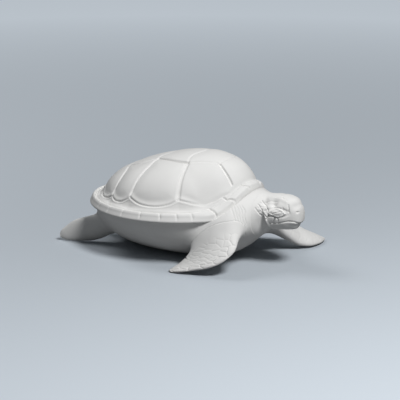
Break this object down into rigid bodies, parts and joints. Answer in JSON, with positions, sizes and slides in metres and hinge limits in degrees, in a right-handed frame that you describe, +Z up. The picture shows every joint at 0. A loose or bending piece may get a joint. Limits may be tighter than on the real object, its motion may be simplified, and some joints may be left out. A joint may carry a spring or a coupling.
{
  "type": "turtle figurine",
  "caption": "White unglazed porcelain sea turtle with a domed shell, raised head and spread flippers, standing on its belly.",
  "frame": {"origin": "centre of the belly's flat foot, on the surface that the figurine stands on", "axes": "+X to the head, +Y to the turtle's left, +Z up"},
  "size_m": [0.2411, 0.1678, 0.0981],
  "materials": {
    "bisque": "matt unglazed white bisque porcelain"
  },
  "bodies": {
    "root": {"carapace": "bisque", "body": "bisque", "head_and_neck": "bisque", "front_flipper_right": "bisque", "front_flipper_left": "bisque", "hind_flipper_right": "bisque", "hind_flipper_left": "bisque", "tail": "bisque"}
  },
  "joints": []
}
